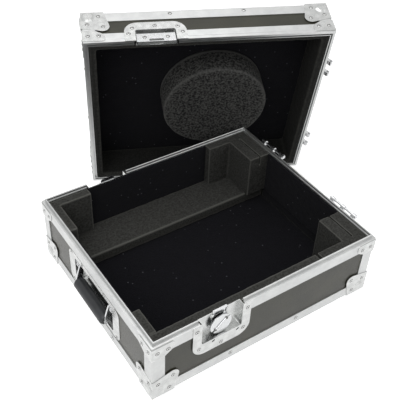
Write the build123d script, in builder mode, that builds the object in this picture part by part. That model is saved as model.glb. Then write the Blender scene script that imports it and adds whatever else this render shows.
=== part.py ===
from build123d import *
import math
import os

os.makedirs("parts", exist_ok=True)

# Flight case for a turntable: an open tray on the floor and its lid, lifted off, standing behind it.
# Origin: on the floor, in the middle of the foot at the tray's front and handle sides.
# +X runs along the front to the hinge side, +Y to the rear, +Z up.

# Overall sizes, outside the edge extrusions
case_length = 530  # handle side to hinge side
case_width = 454  # front to rear
tray_height = 147  # closed end to closing plane
lid_height = 90  # closed end to closing plane
foot = 4  # flats of the ball corners stand this far outside the extrusions

# Walls
leg = 1.8  # wall of the edge extrusions
panel = 7  # laminated plywood
wall = leg + panel
plate = 1.2  # pressed steel fittings
gap = 0.3  # air between pieces that move past each other
play = 0.06  # radial play of a pin in its bore

# Edge extrusions
edge_width = 27
edge_round = 3
mitre_line = 0.1  # each bar stops this far short of the mitre
rim_width = 26
rim_web = 2
rim_inner_leg = 1.5
rim_inner_height = 12
rim_depth = wall + rim_inner_leg
tongue = 3
tongue_in = 5.5
tongue_height = 7
tongue_bevel = 0.8
groove_play = 0.3
groove_depth = 8
rim_line = 0.7  # half width of the line pressed into the lid's rim

# Ball corners and rim braces
ball_in = 14  # centre of each dome, from both edges of its face
dome_radius = 14
flat_radius = 9
lobe_root = 47
lobe_tip = 62
lobe_round = 14
brace_length = 46
brace_top = 4
brace_tip = 22
brace_shoulder = 25
brace_height = 36
brace_round = 8

# Recessed butterfly latches, measured along the face, inward and up from the tray's closed end
latch_from_handle_side = 149.5
dish_depth = 12
flange_width = 129
flange_height = 86
flange_round = 28
opening_width = 90
opening_height = 57
opening_round = 5
rim_gap_margin = 4  # the rim stops this far from the dish
flange_slot_size = (7, 3.5)
flange_slot_places = ((-18.5, 23), (36.5, 22))
latch_axis_drop = 31  # rotor axis below the closing plane
shaft_radius = 3.5
throw = 3  # eccentric throw, half of the claw's stroke
eccentric_radius = 7
slot_play = 0.8  # the claw's window round the eccentric
claw_width = 32
claw_thickness = 1.5
claw_rise = 6.5  # above the closing plane, with the latch open
claw_tail = 12  # below the rotor axis
claw_slot_size = (20, 3.5)
claw_slot_drop = 13
hook_width = 24
hook_reach = 2.5
guide_width = 3
guide_lip = 3
guide_height = 9
guide_drop = 2
rotor_width = 14
rotor_thickness = 2
rotor_turn = 40  # hinge line of the wings, turned from level, degrees
wing_radius = 23.5
wing_thickness = 1.8
wing_start = 3.2
wing_pin_radius = 1.3
wing_pin_depth = 3.6
knuckle_radius = 2.6
ear_width = 3
wing_b_knuckle = 18
wing_a_knuckle = 4.4

# Catch dishes of the lid
catch_height = 54
catch_opening_width = 84
catch_opening_height = 32
keeper_depth = 3
keeper_height = 24
keeper_side = 1
keeper_slot_size = (30, 6)
keeper_slot_drop = 2

# Carrying handle in its recessed dish
handle_flange_width = 210
handle_flange_low = edge_width + 1  # the flange lies between the edge extrusion and the rim
handle_flange_height = tray_height - rim_width - 3 - handle_flange_low
handle_flange_round = 18
handle_opening_width = 158
handle_opening_low = handle_flange_low + 10
handle_opening_height = handle_flange_height - 22
handle_opening_round = 8
pivot_depth = dish_depth / 2
pivot_up = handle_opening_low + handle_opening_height - 15
grip_out = 4  # grip axis outside the face
grip_up = handle_opening_low + 17
grip_length = 118
grip_radius = 13
grip_end_radius = 10.5
grip_taper = 4
grip_bore = 5
arm_thickness = 4
arm_end_radius = 5.5
handle_pin_radius = 3
handle_pin_head = 4
spring_radius = 4.6
spring_wire = 0.8
spring_turns = 3
spring_pitch = 2.6

# Loose-pin hinges
hinge_spacing = 243
hinge_leaf_width = 80
hinge_leaf_height = 21
hinge_leaf_thickness = 2
hinge_leaf_drop = 4
hinge_out = 8
barrel_radius = 4.5
knuckle_length = 10
tray_knuckles = (-32, 0, 32)
lid_knuckles = (-16, 16)
hinge_pin_radius = 2.5
hinge_pin_head_radius = 4
hinge_pin_head = 2

# Soft lining
carpet = 3
lining = 4
foam_below_rim = 2
ledge_width = 94
ledge_height = 27
block_depth = 20
block_rear_length = 103
block_side_leg = 18
rear_left_back_leg = 90
rear_right_back_leg = 111
right_leg_depth = 54
front_left_leg = 62
front_right_leg = 72
front_strip_length = 384
front_strip_end_gap = 6
slit = 3
slit_depth = 25
slit_in = 26
lid_foam_side = 15
lid_foam_long = 12
puck_radius = 121
puck_off_centre = 28  # towards the hinge side
puck_below_rim = 13.9

# How the lid stands: turned, leaning forward on the tray's rear corner
lid_yaw = -24.04
lid_lean = 13.71
lean_reach = 113.5  # from the pad's middle to where the tray's corner touches it, short of its edge
lid_lift = 1.4  # catch plates and foot of the rim clear the floor
lean_gap = 0.3

half_length = case_length / 2
half_width = case_width / 2
latch_x = latch_from_handle_side - half_length
axis_height = tray_height - latch_axis_drop
claw_back = dish_depth - gap
claw_front = claw_back - claw_thickness
rotor_back = claw_front - gap
rotor_front = rotor_back - rotor_thickness
arm_inside = grip_length / 2 + gap

# Placing
tray_centre = Vector(half_length - ball_in, half_width - ball_in, foot)
tray_place = Location(tray_centre)
yaw = math.radians(lid_yaw)
lean = math.radians(lid_lean)
along = Vector(math.cos(yaw), math.sin(yaw), 0)
outward = Vector(math.sin(yaw) * math.cos(lean), -math.cos(yaw) * math.cos(lean), -math.sin(lean))
upward = outward.cross(along)
tray_corner = tray_centre + Vector(half_length + plate, half_width + plate, tray_height - brace_top)
corner_depth = puck_below_rim - lean_gap
corner_up = (tray_corner.Z - lid_lift + corner_depth * outward.Z) / upward.Z
corner_side = math.sqrt(max(lean_reach**2 - (corner_up - half_width) ** 2, 0))
corner_along = half_length + puck_off_centre + corner_side
opening_corner = tray_corner - along * corner_along - upward * corner_up + outward * corner_depth
lid_origin = opening_corner + along * half_length + upward * half_width - outward * lid_height
lid_plane = Plane(origin=lid_origin, x_dir=along, z_dir=outward)
lid_place = Location(lid_plane)

front = Location((0, -half_width, 0))
rear = Location((0, half_width, 0), (0, 0, 180))
handle_side = Location((-half_length, 0, 0), (0, 0, -90))
hinge_side = Location((half_length, 0, 0), (0, 0, 90))
four_corners = (
    Location((-half_length, -half_width, 0)),
    Location((half_length, -half_width, 0), (0, 0, 90)),
    Location((half_length, half_width, 0), (0, 0, 180)),
    Location((-half_length, half_width, 0), (0, 0, 270)),
)
LOW = (Align.MIN, Align.MIN, Align.MIN)
CENTRE_LOW = (Align.CENTER, Align.MIN, Align.MIN)


def save(piece, name, place):
    """Write one named piece at its place in the row."""
    piece.part = piece.part.moved(place)
    piece.part.label = name
    export_step(piece.part, f"parts/{name}.step")


def gather(pieces):
    """One group of separate solids."""
    with BuildPart() as group:
        for piece in pieces:
            add(piece)
    return group


def outside(height, depth=0):
    """Sketch plane on a face, seen from outside, with its origin on the closing plane."""
    return Plane(origin=(0, depth, height), x_dir=(1, 0, 0), z_dir=(0, -1, 0))


# Edge extrusions: mitred bars along a face and square-cut angles up the corners
def mitre(length):
    for end in (-1, 1):
        cut = end * (length / 2 - mitre_line)
        split(bisect_by=Plane(origin=(cut, 0, 0), z_dir=(-end, -1, 0)), keep=Keep.TOP)


def angle_section(sketch_plane):
    with BuildSketch(sketch_plane) as section:
        Rectangle(edge_width, edge_width, align=(Align.MIN, Align.MIN))
        with Locations((leg, leg)):
            Rectangle(edge_width, edge_width, align=(Align.MIN, Align.MIN), mode=Mode.SUBTRACT)
        fillet(section.vertices().sort_by_distance((0, 0, 0))[0], edge_round)
    return section.sketch


def edge_bar(length):
    with BuildPart() as bar:
        extrude(angle_section(Plane.YZ.offset(-length / 2)), amount=length)
        mitre(length)
    return bar.part


def corner_edge(height):
    with BuildPart() as edge:
        extrude(angle_section(Plane.XY.offset(edge_width)), amount=height - rim_width - edge_width)
    return edge.part


def rim_bar(length, height, male, dish_x, dish_width):
    """Closing rail: a tongue on the tray, a groove in the lid, cut away at a latch."""
    top = (Align.MIN, Align.MAX)
    web_drop = 0 if male else groove_depth
    with BuildPart() as bar:
        rail = Plane(origin=(-length / 2, 0, height), x_dir=(0, 1, 0), z_dir=(1, 0, 0))
        with BuildSketch(rail) as section:
            Rectangle(leg, rim_width, align=top)
            with Locations((0, -web_drop)):
                Rectangle(rim_depth, rim_web, align=top)
            with Locations((wall, -web_drop)):
                Rectangle(rim_inner_leg, rim_inner_height, align=top)
            if male:
                with Locations((tongue_in, 0)):
                    Rectangle(tongue, tongue_height, align=(Align.MIN, Align.MIN))
                chamfer(section.vertices().group_by(Axis.Y)[-1], tongue_bevel)
            else:
                Rectangle(tongue_in - groove_play, groove_depth, align=top)
                inner_lip = tongue_in + tongue + groove_play
                with Locations((inner_lip, 0)):
                    Rectangle(rim_depth - inner_lip, groove_depth, align=top)
                with BuildLine():
                    Polyline(
                        (0, rim_line - groove_depth),
                        (rim_line, -groove_depth),
                        (0, -rim_line - groove_depth),
                        close=True,
                    )
                make_face(mode=Mode.SUBTRACT)
        extrude(amount=length)
        mitre(length)
        if dish_x is not None:
            with Locations((dish_x, 0, height)):
                Box(dish_width + 2 * rim_gap_margin, 4 * rim_depth, 4 * rim_width, mode=Mode.SUBTRACT)
    return bar.part


# Panels, seen along their own face, with a cut-out for a dish where one is let in
def side_panel(length, height, top_drop, cutout=None):
    with BuildPart() as board:
        with Locations((0, leg, leg)):
            Box(length, panel, height - leg - top_drop, align=CENTRE_LOW)
        if cutout:
            centre, low, width, tall = cutout
            with Locations((centre, 0, low - gap)):
                room = width + 2 * plate + 2 * gap
                Box(room, 3 * wall, tall + 2 * gap, align=CENTRE_LOW, mode=Mode.SUBTRACT)
    return board


def end_sheet(low, thickness):
    """Board or carpet over the closed end, between the walls."""
    with BuildPart() as board:
        with BuildSketch(Plane.XY.offset(low)):
            Rectangle(case_length - 2 * wall, case_width - 2 * wall)
        extrude(amount=thickness)
    return board


# Ball corner: a lobe over each face at the case's corner, each with a dome and its round flat
def ball_corner():
    with BuildPart() as corner:
        for face_plane in (Plane.XY, Plane.YZ, Plane.ZX):
            with BuildSketch(face_plane) as lobe:
                with BuildLine():
                    Polyline(
                        (-plate, -plate),
                        (lobe_root, -plate),
                        (lobe_tip, lobe_tip),
                        (-plate, lobe_root),
                        close=True,
                    )
                make_face()
                fillet(lobe.vertices().sort_by_distance((lobe_tip, lobe_tip, 0))[0], lobe_round)
            extrude(amount=-plate)
            with Locations(face_plane.offset(-plate) * Location((ball_in, ball_in, 0), (180, 0, 0))):
                Cone(dome_radius, flat_radius, foot - plate, align=(Align.CENTER, Align.CENTER, Align.MIN))
    return corner.part


def rim_brace(height):
    """Angle plate round the corner of the rim, with a tapered leg on each face."""
    with BuildPart() as brace:
        for x_dir, normal, outwards in (((1, 0, 0), (0, -1, 0), 1), ((0, 1, 0), (1, 0, 0), -1)):
            with BuildSketch(Plane(origin=(0, 0, height), x_dir=x_dir, z_dir=normal)) as outline:
                with BuildLine():
                    Polyline(
                        (-plate, -brace_top),
                        (brace_length, -brace_top),
                        (brace_length, -brace_tip),
                        (brace_shoulder, 1 - brace_height),
                        (-plate, -brace_height),
                        close=True,
                    )
                make_face()
                chamfer(outline.vertices().group_by(Axis.X)[-1], brace_round / 2)
            extrude(amount=outwards * plate)
    return brace.part


# Recessed dish pressed from sheet, open towards the closing plane
def open_dish(height, flange_tall, flange_corner, mouth_width, mouth_tall):
    with BuildPart() as dish:
        with BuildSketch(outside(height)) as flange:
            Rectangle(flange_width, flange_tall, align=(Align.CENTER, Align.MAX))
            fillet(flange.vertices().group_by(Axis.Y)[0], flange_corner)
        extrude(amount=plate)
        for grow, start, mode in ((plate, 0, Mode.ADD), (0, -plate, Mode.SUBTRACT)):
            with BuildSketch(outside(height, start)) as mouth:
                Rectangle(mouth_width + 2 * grow, mouth_tall + grow, align=(Align.CENTER, Align.MAX))
                fillet(mouth.vertices().group_by(Axis.Y)[0], opening_round + grow)
            extrude(amount=start - dish_depth - grow, mode=mode)
    return dish


def latch_dish():
    dish = open_dish(tray_height, flange_height, flange_round, opening_width, opening_height)
    guide_x = claw_width / 2 + gap
    with BuildPart() as latch:
        add(dish.part)
        with BuildSketch(outside(axis_height, dish_depth + plate)):
            Circle(shaft_radius + play)
        extrude(amount=2 * plate, mode=Mode.SUBTRACT)
        with BuildSketch(outside(tray_height - flange_height, 0)):
            for slot_x, slot_up in flange_slot_places:
                with Locations((slot_x, slot_up)):
                    SlotOverall(*flange_slot_size, rotation=30)
        extrude(amount=plate, mode=Mode.SUBTRACT)
        with BuildSketch(Plane.XY.offset(tray_height - guide_drop - guide_height)):
            for side in (-1, 1):
                with BuildLine():
                    Polyline(
                        (side * guide_x, dish_depth),
                        (side * guide_x, claw_front - gap),
                        (side * (guide_x - guide_lip), claw_front - gap),
                        (side * (guide_x - guide_lip), claw_front - gap - plate),
                        (side * (guide_x + guide_width), claw_front - gap - plate),
                        (side * (guide_x + guide_width), dish_depth),
                        close=True,
                    )
                make_face()
        extrude(amount=guide_height)
    return latch


def latch_claw():
    """Sliding plate with a hook at its head and a window round the eccentric."""
    with BuildPart() as claw:
        with BuildSketch(outside(tray_height, claw_back)) as blade:
            with Locations((0, claw_rise)):
                claw_tall = claw_rise + latch_axis_drop + claw_tail
                Rectangle(claw_width, claw_tall, align=(Align.CENTER, Align.MAX))
            fillet(blade.vertices(), 2)
            with Locations((0, throw - latch_axis_drop)):
                window_tall = 2 * (eccentric_radius + slot_play)
                Rectangle(2 * (eccentric_radius + throw + gap), window_tall, mode=Mode.SUBTRACT)
            with Locations((0, claw_rise - claw_slot_drop)):
                SlotOverall(*claw_slot_size, mode=Mode.SUBTRACT)
        extrude(amount=claw_thickness)
        with Locations((0, claw_front - hook_reach, tray_height + claw_rise - claw_thickness)):
            Box(hook_width, hook_reach, claw_thickness, align=CENTRE_LOW)
        fillet(claw.edges().filter_by(Axis.X).sort_by(Axis.Z)[-2:].sort_by(Axis.Y)[0], 0.6)
    return claw


def turned_plane(depth):
    """Plane of the rotor's face, with its X along the wings' hinge line."""
    turn = math.radians(rotor_turn)
    hinge_line = (math.cos(turn), 0, math.sin(turn))
    return Plane(origin=(0, depth, axis_height), x_dir=hinge_line, z_dir=(0, -1, 0))


def hinge_round(start, length, radius, mode=Mode.ADD):
    """Round knuckle, pin or bore along the wings' hinge line."""
    line = turned_plane(wing_pin_depth)
    origin = line.from_local_coords((start, 0, 0))
    with BuildSketch(Plane(origin=origin, x_dir=line.z_dir, z_dir=line.x_dir)) as ring:
        Circle(radius)
    extrude(ring.sketch, amount=length, mode=mode)


wing_a_start = wing_b_knuckle / 2 + gap
ear_start = wing_a_start + wing_a_knuckle + gap


def latch_rotor():
    """Disc with the wings' hinge ears in front and the shaft and eccentric behind."""
    with BuildPart() as rotor:
        with BuildSketch(outside(axis_height, dish_depth + plate)):
            Circle(shaft_radius)
        extrude(amount=dish_depth + plate - rotor_back)
        with BuildSketch(outside(axis_height + throw, claw_back)):
            Circle(eccentric_radius)
        extrude(amount=claw_back - rotor_back)
        with BuildSketch(turned_plane(rotor_back)):
            Rectangle(2 * (ear_start + ear_width), rotor_width)
        extrude(amount=rotor_thickness)
        for side in (-1, 1):
            ear = side * (ear_start + ear_width / 2)
            with BuildSketch(turned_plane(rotor_front)):
                with Locations((ear, 0)):
                    Rectangle(ear_width, 2 * knuckle_radius)
            extrude(amount=rotor_front - wing_pin_depth)
            hinge_round(ear - ear_width / 2, ear_width, knuckle_radius)
        hinge_round(-wing_radius, 2 * wing_radius, wing_pin_radius + play, Mode.SUBTRACT)
    return rotor


def latch_wing(side, knuckle_spans):
    """Half-round flap behind the hinge line, folded flat over the rotor."""
    leaf_depth = wing_pin_depth + 0.15 + wing_thickness
    with BuildPart() as wing:
        with BuildSketch(turned_plane(leaf_depth)):
            Circle(wing_radius)
            with Locations((0, side * (wing_start - wing_radius))):
                Rectangle(2 * wing_radius, 2 * wing_radius, mode=Mode.SUBTRACT)
            for start, length in knuckle_spans:
                with Locations((start + length / 2, side * wing_start / 2)):
                    Rectangle(length, wing_start + 0.2)
        extrude(amount=wing_thickness)
        for start, length in knuckle_spans:
            hinge_round(start, length, knuckle_radius)
        hinge_round(-wing_radius, 2 * wing_radius, wing_pin_radius + play, Mode.SUBTRACT)
    return wing


def wing_pin():
    half = ear_start + ear_width
    with BuildPart() as pin:
        hinge_round(-half, 2 * half, wing_pin_radius)
    return pin


# Catch dish of the lid and the keeper that the claw hooks into
def catch_keeper():
    width = catch_opening_width - 2 * keeper_side
    with BuildPart() as keeper:
        with BuildSketch(Plane.XY.offset(lid_height - keeper_height)) as bridge:
            with Locations((0, keeper_depth)):
                Rectangle(width, dish_depth - keeper_depth, align=(Align.CENTER, Align.MIN))
            with Locations((0, keeper_depth + plate)):
                Rectangle(width - 2 * plate, dish_depth, align=(Align.CENTER, Align.MIN), mode=Mode.SUBTRACT)
            fillet(bridge.vertices().group_by(Axis.Y)[0], plate)
        extrude(amount=keeper_height)
        with BuildSketch(outside(lid_height, keeper_depth + plate)):
            with Locations((0, -keeper_slot_drop)):
                Rectangle(*keeper_slot_size, align=(Align.CENTER, Align.MAX))
        extrude(amount=2 * plate, mode=Mode.SUBTRACT)
    return keeper


# Carrying handle
def handle_dish():
    with BuildPart() as dish:
        with BuildSketch(outside(handle_flange_low, leg)) as flange:
            Rectangle(handle_flange_width, handle_flange_height, align=(Align.CENTER, Align.MIN))
            fillet(flange.vertices(), handle_flange_round)
        extrude(amount=plate)
        for grow, start, mode in ((plate, leg, Mode.ADD), (0, leg - plate, Mode.SUBTRACT)):
            with BuildSketch(outside(handle_opening_low - grow, start)) as mouth:
                Rectangle(
                    handle_opening_width + 2 * grow,
                    handle_opening_height + 2 * grow,
                    align=(Align.CENTER, Align.MIN),
                )
                fillet(mouth.vertices(), handle_opening_round + grow)
            extrude(amount=start - dish_depth - grow, mode=mode)
        pivot_plane = Plane.YZ.offset(-handle_flange_width / 2)
        with BuildSketch(pivot_plane):
            with Locations((pivot_depth, pivot_up)):
                Circle(handle_pin_radius + play)
        extrude(amount=handle_flange_width, mode=Mode.SUBTRACT)
    return dish


def handle_bail():
    """Two arms joined by the rod inside the grip."""
    arm_outside = arm_inside + arm_thickness
    with BuildPart() as bail:
        for start in (-arm_outside, arm_inside):
            with BuildSketch(Plane.YZ.offset(start)) as arm:
                with Locations((pivot_depth, pivot_up)):
                    Circle(arm_end_radius)
                with Locations((-grip_out, grip_up)):
                    Circle(arm_end_radius + 1)
                make_hull()
                with Locations((pivot_depth, pivot_up)):
                    Circle(handle_pin_radius + play, mode=Mode.SUBTRACT)
            extrude(amount=arm_thickness)
        with BuildSketch(Plane.YZ.offset(-arm_inside)):
            with Locations((-grip_out, grip_up)):
                Circle(grip_bore)
        extrude(amount=2 * arm_inside)
    return bail


def handle_grip():
    """Barrel-shaped sleeve over the rod of the bail."""
    half = grip_length / 2
    with BuildPart() as grip:
        with BuildSketch(Plane.XY) as profile:
            with BuildLine():
                Polyline(
                    (-half, grip_end_radius),
                    (grip_taper - half, grip_radius),
                    (half - grip_taper, grip_radius),
                    (half, grip_end_radius),
                    (half, grip_bore + play),
                    (-half, grip_bore + play),
                    close=True,
                )
            make_face()
        revolve(axis=Axis.X)
    grip.part = grip.part.moved(Location((0, -grip_out, grip_up)))
    return grip


def handle_pins():
    with BuildPart() as pins:
        for side in (-1, 1):
            tip = Plane(origin=(side * arm_inside, pivot_depth, pivot_up), z_dir=(side, 0, 0))
            with BuildSketch(tip):
                Circle(handle_pin_radius)
            extrude(amount=handle_opening_width / 2 + plate - arm_inside)
            head = Plane(
                origin=(side * (handle_opening_width / 2 + plate), pivot_depth, pivot_up), z_dir=(side, 0, 0)
            )
            with BuildSketch(head):
                Circle(handle_pin_head)
            extrude(amount=plate)
    return pins


def least_gap(wire, turns, radius):
    """Least distance between points of a coil at least half a turn apart, less the wire itself."""
    samples = 24 * turns
    points = [wire @ (i / samples) for i in range(samples + 1)]
    nearest = min(
        (points[i] - points[j]).length for i in range(samples + 1) for j in range(i + 12, samples + 1)
    )
    return nearest - 2 * radius


def handle_springs():
    """Return springs, wound round the pins between the arms and the dish's ends."""
    coil_height = spring_turns * spring_pitch
    middle = (arm_inside + arm_thickness + handle_opening_width / 2) / 2
    coils = []
    for side in (-1, 1):
        start = side * (middle - coil_height / 2)
        with BuildPart() as spring:
            with BuildLine():
                wire = Helix(
                    pitch=spring_pitch,
                    height=coil_height,
                    radius=spring_radius,
                    center=(start, pivot_depth, pivot_up),
                    direction=(side, 0, 0),
                )
            with BuildSketch(Plane(origin=wire @ 0, z_dir=wire % 0)):
                RegularPolygon(spring_wire, 4)
            sweep(is_frenet=True)
        coils.append(spring.part)
        print(f"handle spring, least gap to itself: {least_gap(wire, spring_turns, spring_wire):.2f} mm")
    return gather(coils)


# Hinge leaves and their loose pins
def hinge_leaf(height, knuckles):
    with BuildPart() as leaf:
        with BuildSketch(outside(height - hinge_leaf_drop, 0)) as flat:
            Rectangle(hinge_leaf_width, hinge_leaf_height, align=(Align.CENTER, Align.MAX))
            chamfer(flat.vertices(), 3)
        extrude(amount=hinge_leaf_thickness)
        for centre in knuckles:
            start = Plane.YZ.offset(centre - knuckle_length / 2)
            with BuildSketch(start):
                with Locations((-hinge_out, height)):
                    Circle(barrel_radius)
                with Locations((-hinge_leaf_thickness, height - hinge_leaf_drop)):
                    Rectangle(hinge_leaf_thickness, 2 * barrel_radius, align=(Align.MIN, Align.MAX))
                make_hull()
                with Locations((-hinge_out, height)):
                    Circle(hinge_pin_radius + play, mode=Mode.SUBTRACT)
            extrude(amount=knuckle_length)
    return leaf


def hinge_pin():
    """Headed pin through the tray's knuckles, its head towards the front."""
    length = tray_knuckles[-1] - tray_knuckles[0] + knuckle_length + 4
    start = tray_knuckles[0] - knuckle_length / 2 - gap
    with BuildPart() as pin:
        with BuildSketch(Plane.YZ.offset(start)):
            with Locations((-hinge_out, tray_height)):
                Circle(hinge_pin_radius)
        extrude(amount=length)
        with BuildSketch(Plane.YZ.offset(start)):
            with Locations((-hinge_out, tray_height)):
                Circle(hinge_pin_head_radius)
        extrude(amount=-hinge_pin_head)
    return pin


# Foam and carpet, held to the inside of the walls
def foam_block(points, low, high, slit_line=None):
    """Upright block with a plan outline, and a slit where two layers meet."""
    with BuildPart() as block:
        with BuildSketch(Plane.XY.offset(low)):
            with BuildLine():
                Polyline(*points, close=True)
            make_face()
        extrude(amount=high - low)
        if slit_line:
            slit_x, slit_y, slit_length = slit_line
            with Locations((slit_x, slit_y, high)):
                Box(slit, slit_length, 2 * slit_depth, mode=Mode.SUBTRACT)
    return block


def corner_outline(to_x, to_y, back_leg, side_leg, back_depth, side_depth):
    """L outline in a corner of the case: to_x and to_y are -1 or 1 towards that corner."""
    corner_x = to_x * (half_length - rim_depth)
    corner_y = to_y * (half_width - rim_depth)
    return [
        (corner_x, corner_y),
        (corner_x - to_x * back_leg, corner_y),
        (corner_x - to_x * back_leg, corner_y - to_y * back_depth),
        (corner_x - to_x * side_depth, corner_y - to_y * back_depth),
        (corner_x - to_x * side_depth, corner_y - to_y * side_leg),
        (corner_x, corner_y - to_y * side_leg),
    ]


def dish_pocket(width, low, high):
    """Room for the back of a dish, in a face's own frame."""
    with BuildPart() as room:
        with Locations((0, 0, low - gap)):
            Box(width + 2 * plate + 2 * gap, dish_depth + plate + gap, high - low + 2 * gap, align=CENTRE_LOW)
    return room.part


def wall_lining(start, end, low, high, depth, pocket=None):
    """Flat lining between two points along a face, hollowed behind a dish."""
    with BuildPart() as board:
        with Locations((start, rim_depth, low)):
            Box(end - start, depth, high - low, align=LOW)
        if pocket:
            add(pocket, mode=Mode.SUBTRACT)
    return board.part


# Tray
opening_low = tray_height - opening_height
latch_pocket = dish_pocket(opening_width, opening_low - plate, tray_height + 1)
front_pocket = latch_pocket.moved(Location((latch_x, 0, 0)))
rear_pocket = latch_pocket.moved(Location((-latch_x, 0, 0)))
handle_opening_high = handle_opening_low + handle_opening_height
handle_pocket = dish_pocket(
    handle_opening_width + 2 * plate, handle_opening_low - plate, handle_opening_high + plate
)
tray_top_drop = rim_web
latch_cut = (latch_x, opening_low - plate, opening_width, opening_height + plate)
rear_latch_cut = (-latch_x, opening_low - plate, opening_width, opening_height + plate)
handle_cut_width = handle_opening_width + 2 * plate
handle_cut = (0, handle_opening_low - plate, handle_cut_width, handle_opening_height + 2 * plate)
long_panel = case_length - 2 * leg
short_panel = case_width - 2 * wall

save(end_sheet(leg, panel), "tray_bottom_panel", tray_place)
save(side_panel(long_panel, tray_height, tray_top_drop, latch_cut), "tray_front_panel", tray_place * front)
save(side_panel(long_panel, tray_height, tray_top_drop, rear_latch_cut), "tray_rear_panel", tray_place * rear)
handle_side_panel = side_panel(short_panel, tray_height, tray_top_drop, handle_cut)
save(handle_side_panel, "tray_handle_side_panel", tray_place * handle_side)
save(side_panel(short_panel, tray_height, tray_top_drop), "tray_hinge_side_panel", tray_place * hinge_side)


def shell_edges(half, height, male, place, dish_width):
    """Edges, rim rails, braces and ball corners of the tray or of the lid."""
    long_edge = edge_bar(case_length)
    short_edge = edge_bar(case_width)
    bars = [long_edge.moved(face) for face in (front, rear)]
    bars += [short_edge.moved(face) for face in (handle_side, hinge_side)]
    save(gather(bars), f"{half}_end_edges", place)
    uprights = [corner_edge(height).moved(corner) for corner in four_corners]
    save(gather(uprights), f"{half}_corner_edges", place)
    side_rim = rim_bar(case_width, height, male, None, 0)
    rails = [
        rim_bar(case_length, height, male, latch_x, dish_width).moved(front),
        rim_bar(case_length, height, male, -latch_x, dish_width).moved(rear),
        side_rim.moved(handle_side),
        side_rim.moved(hinge_side),
    ]
    save(gather(rails), f"{half}_rim_rails", place)
    save(gather([ball_corner().moved(corner) for corner in four_corners]), f"{half}_ball_corners", place)
    save(gather([rim_brace(height).moved(corner) for corner in four_corners]), f"{half}_rim_braces", place)


shell_edges("tray", tray_height, True, tray_place, opening_width)

for side_name, face, along_face in (("front", front, latch_x), ("rear", rear, -latch_x)):
    place = tray_place * face * Location((along_face, 0, 0))
    wing_a_spans = ((wing_a_start, wing_a_knuckle), (-wing_a_start - wing_a_knuckle, wing_a_knuckle))
    save(latch_dish(), f"{side_name}_latch_dish", place)
    save(latch_claw(), f"{side_name}_latch_claw", place)
    save(latch_rotor(), f"{side_name}_latch_rotor", place)
    save(latch_wing(1, wing_a_spans), f"{side_name}_latch_upper_wing", place)
    save(latch_wing(-1, ((-wing_b_knuckle / 2, wing_b_knuckle),)), f"{side_name}_latch_lower_wing", place)
    save(wing_pin(), f"{side_name}_latch_wing_pin", place)

save(handle_dish(), "handle_dish", tray_place * handle_side)
save(handle_bail(), "handle_bail", tray_place * handle_side)
save(handle_grip(), "handle_grip", tray_place * handle_side)
save(handle_pins(), "handle_pins", tray_place * handle_side)
save(handle_springs(), "handle_springs", tray_place * handle_side)

for side_name, side in (("front", -1), ("rear", 1)):
    place = tray_place * hinge_side * Location((side * hinge_spacing / 2, 0, 0))
    save(hinge_leaf(tray_height, tray_knuckles), f"tray_{side_name}_hinge_leaf", place)
    save(hinge_pin(), f"{side_name}_hinge_pin", place)

# Tray lining
floor = wall + carpet
foam_top = tray_height - foam_below_rim
ledge_top = floor + ledge_height
inner_x = half_length - rim_depth
inner_y = half_width - rim_depth

save(end_sheet(wall, carpet), "tray_floor_carpet", tray_place)

with BuildPart() as foam_ledge:
    with Locations((0, inner_y, floor)):
        Box(2 * inner_x, ledge_width, ledge_height, align=(Align.CENTER, Align.MAX, Align.MIN))
save(foam_ledge, "foam_rear_ledge", tray_place)

rear_left = corner_outline(-1, 1, rear_left_back_leg, block_rear_length, block_depth, block_side_leg)
save(foam_block(rear_left, ledge_top, foam_top), "foam_rear_left_block", tray_place)

rear_right = corner_outline(1, 1, rear_right_back_leg, block_rear_length, block_depth, right_leg_depth)
right_slit_x = inner_x - slit_in
rear_slit = (right_slit_x, inner_y - block_depth - block_rear_length / 2, block_rear_length)
save(foam_block(rear_right, ledge_top, foam_top, rear_slit), "foam_rear_right_block", tray_place)

strip_right = -inner_x + front_strip_length
front_left = [
    (-inner_x, block_depth - inner_y),
    (block_side_leg - inner_x, block_depth - inner_y),
    (block_side_leg - inner_x, block_depth - inner_y + front_left_leg),
    (-inner_x, block_depth - inner_y + front_left_leg),
]
save(foam_block(front_left, floor, foam_top), "foam_front_left_block", tray_place)

strip_outline = [(-inner_x, -inner_y), (strip_right, -inner_y), (strip_right, block_depth - inner_y)]
strip_outline.append((-inner_x, block_depth - inner_y))
front_strip = foam_block(strip_outline, floor, foam_top)
with BuildPart() as foam_front_strip:
    add(front_strip.part)
    add(front_pocket.moved(front), mode=Mode.SUBTRACT)
save(foam_front_strip, "foam_front_strip", tray_place)

front_right_leg_x = 2 * inner_x - front_strip_length - front_strip_end_gap
front_right_side = block_depth + front_right_leg
front_right = corner_outline(
    1, -1, front_right_leg_x, front_right_side, block_depth, right_leg_depth
)
front_slit = (right_slit_x, block_depth - inner_y + front_right_leg / 2, front_right_leg)
save(foam_block(front_right, floor, foam_top, front_slit), "foam_front_right_block", tray_place)

rear_start = rear_right_back_leg - inner_x
rear_end = inner_x - rear_left_back_leg
handle_start = block_rear_length - inner_y
handle_end = inner_y - block_depth - front_left_leg
hinge_start = front_right_side - inner_y
hinge_end = inner_y - block_rear_length
linings = [
    wall_lining(rear_start, rear_end, ledge_top, foam_top, lining, rear_pocket).moved(rear),
    wall_lining(handle_start, handle_end, ledge_top, foam_top, lining, handle_pocket).moved(handle_side),
    wall_lining(hinge_start, hinge_end, ledge_top, foam_top, lining).moved(hinge_side),
]
save(gather(linings), "tray_wall_lining", tray_place)

# Lid
lid_top_drop = groove_depth + rim_web
catch_low = lid_height - catch_opening_height
catch_cut = (latch_x, catch_low - plate, catch_opening_width, catch_opening_height + plate)
rear_catch_cut = (-latch_x, catch_low - plate, catch_opening_width, catch_opening_height + plate)
lid_faces = {"front": (rear, -latch_x), "rear": (front, latch_x)}

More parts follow.
